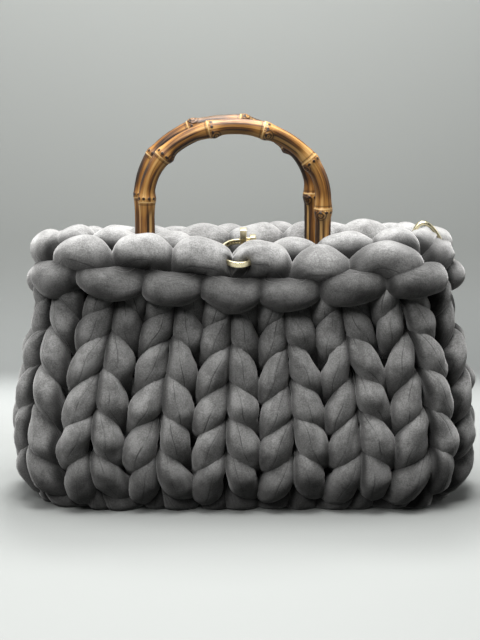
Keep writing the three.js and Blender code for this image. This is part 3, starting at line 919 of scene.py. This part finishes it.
arch_turn = math.pi * (1 - np.arange(ARCH_STEPS + 1) / ARCH_STEPS)
arch_line = np.column_stack(
    [HANDLE_HALF_WIDTH * np.cos(arch_turn), HANDLE_ARCH_Z + HANDLE_ARCH_HEIGHT * np.sin(arch_turn)]
)
arch_line = np.vstack([(-HANDLE_HALF_WIDTH, HANDLE_FOOT_Z), arch_line, (HANDLE_HALF_WIDTH, HANDLE_FOOT_Z)])
arch_run = run_along(arch_line)
cane_run = np.linspace(0, arch_run[-1], CANE_RINGS)
cane_line = np.column_stack([np.interp(cane_run, arch_run, arch_line[:, i]) for i in range(2)])
cane_along = unit(np.gradient(cane_line, axis=0))
cane_inward = np.column_stack([cane_along[:, 1], -cane_along[:, 0]])

CaneRidge = namedtuple("CaneRidge", "height past spread")
CANE_RIDGES = [CaneRidge(0.0003, 0, 0.0007), CaneRidge(0.0005, 0.0028, 0.0022), CaneRidge(0.0007, 0, 0.006)]
CANE_WOBBLE = 0.018
CANE_WOBBLE_LENGTH = 0.083
CANE_WOBBLE_START = 900
GROOVE_DEPTH = 0.0010
GROOVE_HALF_WIDTH = 0.50
GROOVE_START = (0.004, 0.010)
GROOVE_END = (0.003, 0.012)
BUD_HEIGHT = 0.0016
BUD_RADIUS = 0.0042
BUD_PLACE = 0.0050
# how far the grain jumps along and round the cane from one joint to the next
GRAIN_JUMP = (0.37, 0.13)
# a run that no cane reaches, in place of a joint after the last one
PAST_END = 1.0


def wrapped_angle(angle):
    """The same angle within half a turn either way."""
    return np.angle(np.exp(1j * angle))


turn = full_turn(CANE_SIDES)
for cane in CANES:
    joint_runs = np.array([joint.share for joint in cane.joints]) * arch_run[-1]
    bud_turns = np.radians([joint.bud_deg for joint in cane.joints])
    last_joint = len(joint_runs) - 1
    off = cane_run[:, None] - joint_runs[None, :]
    reach = np.full((CANE_RINGS, 1), CANE_RADIUS)
    for ridge in CANE_RIDGES:
        reach[:, 0] += ridge.height * bell(off - ridge.past, ridge.spread).sum(1)
    past = np.clip(np.searchsorted(joint_runs, cane_run) - 1, 0, last_joint)
    from_past = cane_run - joint_runs[past]
    to_next = np.append(joint_runs[1:], PAST_END)[past] - cane_run
    groove = smooth_step(from_past, *GROOVE_START) * smooth_step(to_next, *GROOVE_END)
    groove *= np.array([joint.grooved for joint in cane.joints])[past]
    around = wrapped_angle(turn[None, :] - bud_turns[past][:, None])
    reach = reach - GROOVE_DEPTH * groove[:, None] * bell(around, GROOVE_HALF_WIDTH)
    bud_off = np.hypot(from_past[:, None] - BUD_PLACE, around * CANE_RADIUS)
    reach = reach + BUD_HEIGHT * bell(bud_off, BUD_RADIUS)
    wobble = cane_run * 2 * math.pi / CANE_WOBBLE_LENGTH + cane.x * CANE_WOBBLE_START
    reach *= 1 + CANE_WOBBLE * np.sin(wobble)[:, None]
    front, inward = np.cos(turn)[None, :] * reach, np.sin(turn)[None, :] * reach
    x = cane.x + cane_line[:, :1] + inward * cane_inward[:, :1]
    z = cane_line[:, 1:] + inward * cane_inward[:, 1:]
    points = np.stack([x, cane.y - front, z], axis=-1).reshape(-1, 3)
    faces = ring_faces(CANE_RINGS, CANE_SIDES)[:-CANE_SIDES]
    first_end = list(range(CANE_SIDES))
    last_end = [(CANE_RINGS - 1) * CANE_SIDES + side for side in reversed(range(CANE_SIDES))]
    piece = new_piece(cane.name + "_cane", points, faces.tolist(), bamboo, caps=[first_end, last_end])
    ring, side = np.divmod(faces[:, 0], CANE_SIDES)
    corner_run = cane_run[faces // CANE_SIDES]
    corner_turn = np.stack([side, side, side + 1, side + 1], axis=-1) / CANE_SIDES
    span_middle = (cane_run[ring] + cane_run[ring + 1]) / 2
    nearest = np.searchsorted((joint_runs[1:] + joint_runs[:-1]) / 2, span_middle)[:, None]
    below = np.clip(np.searchsorted(joint_runs, span_middle) - 1, 0, last_joint)[:, None]
    bud_away = wrapped_angle(2 * math.pi * corner_turn - bud_turns[below])
    carry_uv(piece, "cane", corner_run + GRAIN_JUMP[0] * below, corner_turn + GRAIN_JUMP[1] * below)
    carry_uv(piece, "joint", corner_run - joint_runs[nearest], corner_turn)
    carry_uv(piece, "bud", corner_run - joint_runs[below] - BUD_PLACE, bud_away * CANE_RADIUS)
    carry_values(piece, stain=np.full(len(points), cane.stain), grooved=np.repeat(groove, CANE_SIDES))
    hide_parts(cane.name)

# Closure ring: a flat band of pale gold-plated brass, bent to an oval and soldered, round the neck of the
# front rim. Small pits are drilled in a row along the inside of its rear bar.
BAND_HALF = 0.0021
BAND_HALF_THICK = 0.0010
BAND_CORNER = 0.0004
BAND_STEPS = 520
BAND_CORNER_POINTS = 5
BAND_FACE_POINTS = 17
# the band's corners: out, aside, and the angle at which each one's arc starts
BAND_CORNERS = [(-1, 1, 180), (1, 1, 90), (1, -1, 0), (-1, -1, -90)]
PIT_DEG = (89, 98, 107, 116, 125, 134)
PIT_RADIUS = 0.00055
PIT_DEPTH = 0.00050
PIT_STEEPNESS = 4
INNER_FACE = -0.9 * BAND_HALF_THICK
GOLD = (0.930, 0.830, 0.560, 1)
GOLD_WORN_AND_SHADED = (0.300, 0.205, 0.065, 1)
SCRATCH_NOISE = (0.50, 0.80)

gold, gold_tree, gold_shader = new_material("gold", Metallic=1.0)
gold_wear = add_node(gold_tree.nodes, "ShaderNodeGroup", node_tree=wear, Roughness=0.30, Smudge=0.25)
gold_tree.links.new(gold_wear.outputs["Roughness"], gold_shader.inputs["Roughness"])
gold_worn_and_shaded = add_fade(gold_tree, gold_wear.outputs["Scratches"], *SCRATCH_NOISE, 0, 0.5)
# painted shade in the pits and the strap ring's groove, in the same dull colour as the scratches' real wear
gold_worn_and_shaded = add_math(gold_tree, "MAXIMUM", gold_worn_and_shaded, carried_value(gold_tree, "recess"))
gold_tree.links.new(mix_colour(gold_tree, gold_worn_and_shaded, GOLD, GOLD_WORN_AND_SHADED), gold_shader.inputs["Base Color"])
add_bump(gold_tree, gold_shader, gold_wear.outputs["Scratches"], strength=0.12, distance=0.0002)


def gold_piece(name, node, points, faces, recess):
    """A gold piece that stands for a node. Its carried value is 1 where painted shade darkens its recesses.
    """
    piece = new_piece(name, points, faces, gold)
    carry_values(piece, recess=recess)
    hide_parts(node)


band_rows = []
for sign_out, sign_aside, start_deg in BAND_CORNERS:
    for turn in np.radians(start_deg - np.linspace(0, 90, BAND_CORNER_POINTS)):
        band_rows.append((
            sign_out * (BAND_HALF_THICK - BAND_CORNER) + BAND_CORNER * math.cos(turn),
            sign_aside * (BAND_HALF - BAND_CORNER) + BAND_CORNER * math.sin(turn),
        ))
inner_face = np.linspace(-(BAND_HALF - BAND_CORNER), BAND_HALF - BAND_CORNER, BAND_FACE_POINTS)[1:-1]
band_rows += [(-BAND_HALF_THICK, aside) for aside in inner_face]
band_rows = np.array(band_rows)
angle, out = np.meshgrid(full_turn(BAND_STEPS), band_rows[:, 0], indexing="ij")
aside = np.broadcast_to(band_rows[:, 1], out.shape)
pits = np.zeros(out.shape)
for pit in np.radians(PIT_DEG):
    arc_a = CLOSURE_OVAL.half_a * (np.cos(angle) - math.cos(pit))
    arc_b = CLOSURE_OVAL.half_b * (np.sin(angle) - math.sin(pit))
    from_pit = np.hypot(np.hypot(arc_a, arc_b), aside)
    pits += bell(from_pit, PIT_RADIUS, PIT_STEEPNESS) * (out < INNER_FACE)
points = oval_points(CLOSURE_OVAL, angle, out + PIT_DEPTH * pits, aside).reshape(-1, 3)
band_faces = ring_faces(BAND_STEPS, len(band_rows)).tolist()
# the pits get painted shade as well as their depth
gold_piece("closure_band", "closure_ring", points, band_faces, pits.ravel())

# Clasp: a small cast brass catch, gold-plated, threaded on the closure ring's rear bar.
# Two cheeks stand on a plate with a pin through them, and the taller cheek is hollow below.
CLASP_DEG = 72
CLASP_SHIFT = 0.0025
CLASP_BEVEL = 0.00035
CLASP_BEVEL_STEPS = 3
ClaspBlock = namedtuple("ClaspBlock", "low high")
CLASP_BLOCKS = [
    ClaspBlock((-0.0060, -0.0034, -0.0036), (0.0060, 0.0034, -0.0022)),
    ClaspBlock((-0.0060, -0.0034, 0.0036), (-0.0010, 0.0034, 0.0109)),
    ClaspBlock((-0.0060, -0.0034, -0.0026), (-0.0051, 0.0034, 0.0040)),
    ClaspBlock((-0.0019, -0.0034, -0.0026), (-0.0010, 0.0034, 0.0040)),
    ClaspBlock((0.0016, -0.0034, -0.0026), (0.0060, 0.0034, 0.0054)),
]
PIN_HEIGHT = 0.0028
PIN_SIDES = 20
PinRing = namedtuple("PinRing", "x radius")
PIN_RINGS = [
    PinRing(-0.0064, 0.0007), PinRing(-0.0063, 0.0011), PinRing(-0.0057, 0.0011),
    PinRing(0.0062, 0.0011), PinRing(0.0066, 0.0007),
]

clasp_mesh = bmesh.new()
for block in CLASP_BLOCKS:
    corners = bmesh.ops.create_cube(clasp_mesh, size=1)["verts"]
    for corner in corners:
        share = corner.co + Vector((0.5, 0.5, 0.5))
        corner.co = [low + (high - low) * part for low, high, part in zip(block.low, block.high, share)]
    edges = {edge for corner in corners for edge in corner.link_edges}
    bmesh.ops.bevel(
        clasp_mesh, geom=list(edges), offset=CLASP_BEVEL, segments=CLASP_BEVEL_STEPS, profile=0.5,
        affect="EDGES",
    )
clasp_mesh.verts.index_update()
clasp_points = np.array([vertex.co for vertex in clasp_mesh.verts])
clasp_faces = [[vertex.index for vertex in face.verts] for face in clasp_mesh.faces]
clasp_mesh.free()
pin_points = [
    (ring.x, ring.radius * math.cos(turn), PIN_HEIGHT + ring.radius * math.sin(turn))
    for ring in PIN_RINGS for turn in full_turn(PIN_SIDES)
]
pin_faces = ring_faces(len(PIN_RINGS), PIN_SIDES)[:-PIN_SIDES, FLIPPED] + len(clasp_points)
pin_ends = np.arange(len(pin_points)).reshape(len(PIN_RINGS), PIN_SIDES) + len(clasp_points)
clasp_faces += pin_faces.tolist() + [pin_ends[0, ::-1].tolist(), pin_ends[-1].tolist()]
clasp_points = np.vstack([clasp_points, pin_points])
clasp_at = math.radians(CLASP_DEG)
clasp_x = CLOSURE_OVAL.half_a * math.cos(clasp_at) + CLASP_SHIFT
clasp_y = CLOSURE_OVAL.half_b * math.sin(clasp_at)
clasp_points = (clasp_points + (clasp_x, clasp_y, 0)) @ oval_turn(CLOSURE_OVAL).T
clasp_points += np.array(CLOSURE_OVAL.place)
gold_piece("clasp_catch", "clasp", clasp_points, clasp_faces, np.zeros(len(clasp_points)))

# Strap ring: an oval ring of flattened brass wire, gold-plated, through the right end of the rim for a strap.
# A shallow groove runs round its outside.
STRAP_HALF_WIDE = 0.0030
STRAP_HALF_THICK = 0.0017
STRAP_SQUARENESS = 3
STRAP_STEPS = 320
STRAP_SIDES = 28
STRAP_GROOVE = 0.0006
STRAP_GROOVE_HALF = 0.0005
# painted shade in the groove round the ring
STRAP_GROOVE_SHADE = 0.8
angle, turn = np.meshgrid(full_turn(STRAP_STEPS), full_turn(STRAP_SIDES), indexing="ij")
squared = np.abs(np.cos(turn)) ** STRAP_SQUARENESS + np.abs(np.sin(turn)) ** STRAP_SQUARENESS
squared = squared ** (-1 / STRAP_SQUARENESS)
aside = STRAP_HALF_WIDE * squared * np.sin(turn)
groove = bell(aside, STRAP_GROOVE_HALF) * (np.cos(turn) > 0)
out = STRAP_HALF_THICK * squared * np.cos(turn) - STRAP_GROOVE * groove
points = oval_points(STRAP_OVAL, angle, out, aside).reshape(-1, 3)
strap_faces = ring_faces(STRAP_STEPS, STRAP_SIDES).tolist()
gold_piece("strap_wire", "strap_ring", points, strap_faces, STRAP_GROOVE_SHADE * groove.ravel())

# Floor and backdrop: one pale paper sweep, flat under the bag and curved up close behind it.
# It is see-through from the back, so the bag shows in views from behind, and it holds back no light.
SWEEP_FRONT = -2.0
SWEEP_BACK = 0.165
SWEEP_RADIUS = 0.05
SWEEP_BEND_STEPS = 16
SWEEP_TOP = 2.2
SWEEP_HALF_WIDTH = 2.5
# the paper's colour changes with height: the band at the foot of the wall is painted lighter, as a painted
# pool of light
FLOOR_COLOUR = (0.310, 0.320, 0.310, 1)
WALL_FOOT_LIGHT = (0.540, 0.563, 0.548, 1)
WALL_COLOUR = (0.353, 0.367, 0.352, 1)
FLOOR_FADE = (0.00, 0.04)
WALL_FADE = (0.05, 0.18)

sweep_line = [(SWEEP_FRONT, 0.0), (SWEEP_BACK, 0.0)]
for i in range(1, SWEEP_BEND_STEPS + 1):
    turn = math.pi / 2 * i / SWEEP_BEND_STEPS
    sweep_line.append((SWEEP_BACK + SWEEP_RADIUS * math.sin(turn), SWEEP_RADIUS * (1 - math.cos(turn))))
sweep_line.append((SWEEP_BACK + SWEEP_RADIUS, SWEEP_TOP))
sweep_points = [(side * SWEEP_HALF_WIDTH, y, z) for y, z in sweep_line for side in (-1, 1)]
sweep_faces = [(2 * i, 2 * i + 1, 2 * i + 3, 2 * i + 2) for i in range(len(sweep_line) - 1)]
sweep_mesh = bpy.data.meshes.new("sweep")
sweep_mesh.from_pydata(sweep_points, [], sweep_faces)
sweep_mesh.polygons.foreach_set("use_smooth", [True] * len(sweep_mesh.polygons))
sweep = bpy.data.objects.new("sweep", sweep_mesh)
bpy.context.scene.collection.objects.link(sweep)
sweep_paper, sweep_tree, sweep_shader = new_material("sweep_paper", Roughness=0.7)
sweep_place = add_node(sweep_tree.nodes, "ShaderNodeNewGeometry")
_, _, sweep_height = split_vector(sweep_tree, sweep_place.outputs["Position"])
sweep_rise = add_fade(sweep_tree, sweep_height, *FLOOR_FADE, 0, 1)
sweep_up = add_fade(sweep_tree, sweep_height, *WALL_FADE, 0, 1)
sweep_colour = mix_colour(sweep_tree, sweep_rise, FLOOR_COLOUR, WALL_FOOT_LIGHT)
sweep_colour = mix_colour(sweep_tree, sweep_up, sweep_colour, WALL_COLOUR)
sweep_tree.links.new(sweep_colour, sweep_shader.inputs["Base Color"])
sweep_clear = add_node(sweep_tree.nodes, "ShaderNodeBsdfTransparent")


def mix_shaders(tree, share, first, second, output):
    """Show one shader where the share is 0 and another where it is 1."""
    node = add_node(tree.nodes, "ShaderNodeMixShader")
    for socket, source in zip(node.inputs, (share, first, second)):
        tree.links.new(source, socket)
    tree.links.new(node.outputs["Shader"], tree.nodes[output].inputs["Surface"])


mix_shaders(
    sweep_tree, sweep_place.outputs["Backfacing"], sweep_shader.outputs["BSDF"], sweep_clear.outputs["BSDF"],
    "Material Output",
)
sweep_mesh.materials.append(sweep_paper)
sweep.visible_diffuse = False
sweep.visible_shadow = False

# Light: a soft key at the front left, a wide soft box overhead, one over the back and one at each side.
# A wide spot washes the backdrop from above, and the room is dim and even.
SoftBox = namedtuple("SoftBox", "name place aim size watts")
SOFT_BOXES = [
    SoftBox("key", (-0.50, -0.85, 1.05), (0.0, 0.0, 0.1), 0.6, 8),
    SoftBox("overhead", (0.0, -0.16, 1.2), (0.0, 0.0, 0.1), 0.7, 23),
    SoftBox("rear", (0.0, 0.34, 1.1), (0.0, 0.22, 0.0), 0.3, 10),
    SoftBox("left", (-1.3, 0.25, 0.8), (0.0, 0.0, 0.1), 0.6, 4),
    SoftBox("right", (1.3, 0.25, 0.8), (0.0, 0.0, 0.1), 0.6, 4),
]
WASH_PLACE = (0.0, -0.30, 1.35)
WASH_AIM = (0.0, 0.215, 0.80)
WASH_DEG = 60
WASH_SOFTNESS = 0.1
WASH_WATTS = 16
ROOM_COLOUR = (0.75, 0.78, 0.77, 1)
ROOM_LIGHT = 0.05
ROOM_SHOWN = 0.16


def place_lamp(light, place, aim):
    """Hang a light at a place, turned towards its aim."""
    lamp = bpy.data.objects.new(light.name, light)
    lamp.location = place
    lamp.rotation_euler = (Vector(aim) - Vector(place)).to_track_quat("-Z", "Y").to_euler()
    bpy.context.scene.collection.objects.link(lamp)


for soft_box in SOFT_BOXES:
    light = bpy.data.lights.new(soft_box.name, "AREA")
    light.shape = "SQUARE"
    light.size = soft_box.size
    light.energy = soft_box.watts
    place_lamp(light, soft_box.place, soft_box.aim)
wash = bpy.data.lights.new("backdrop_wash", "SPOT")
wash.spot_size = math.radians(WASH_DEG)
wash.spot_blend = 1.0
wash.shadow_soft_size = WASH_SOFTNESS
wash.energy = WASH_WATTS
place_lamp(wash, WASH_PLACE, WASH_AIM)

room = bpy.data.worlds.new("room")
room.use_nodes = True
room_nodes = room.node_tree.nodes
room_light = room_nodes["Background"]
room_light.inputs["Color"].default_value = ROOM_COLOUR
room_light.inputs["Strength"].default_value = ROOM_LIGHT
room_wall = add_node(room_nodes, "ShaderNodeBackground", Color=ROOM_COLOUR, Strength=ROOM_SHOWN)
room_path = add_node(room_nodes, "ShaderNodeLightPath")
mix_shaders(
    room.node_tree, room_path.outputs["Is Camera Ray"], room_light.outputs["Background"],
    room_wall.outputs["Background"], "World Output",
)
bpy.context.scene.world = room
bpy.context.scene.view_settings.view_transform = "Standard"
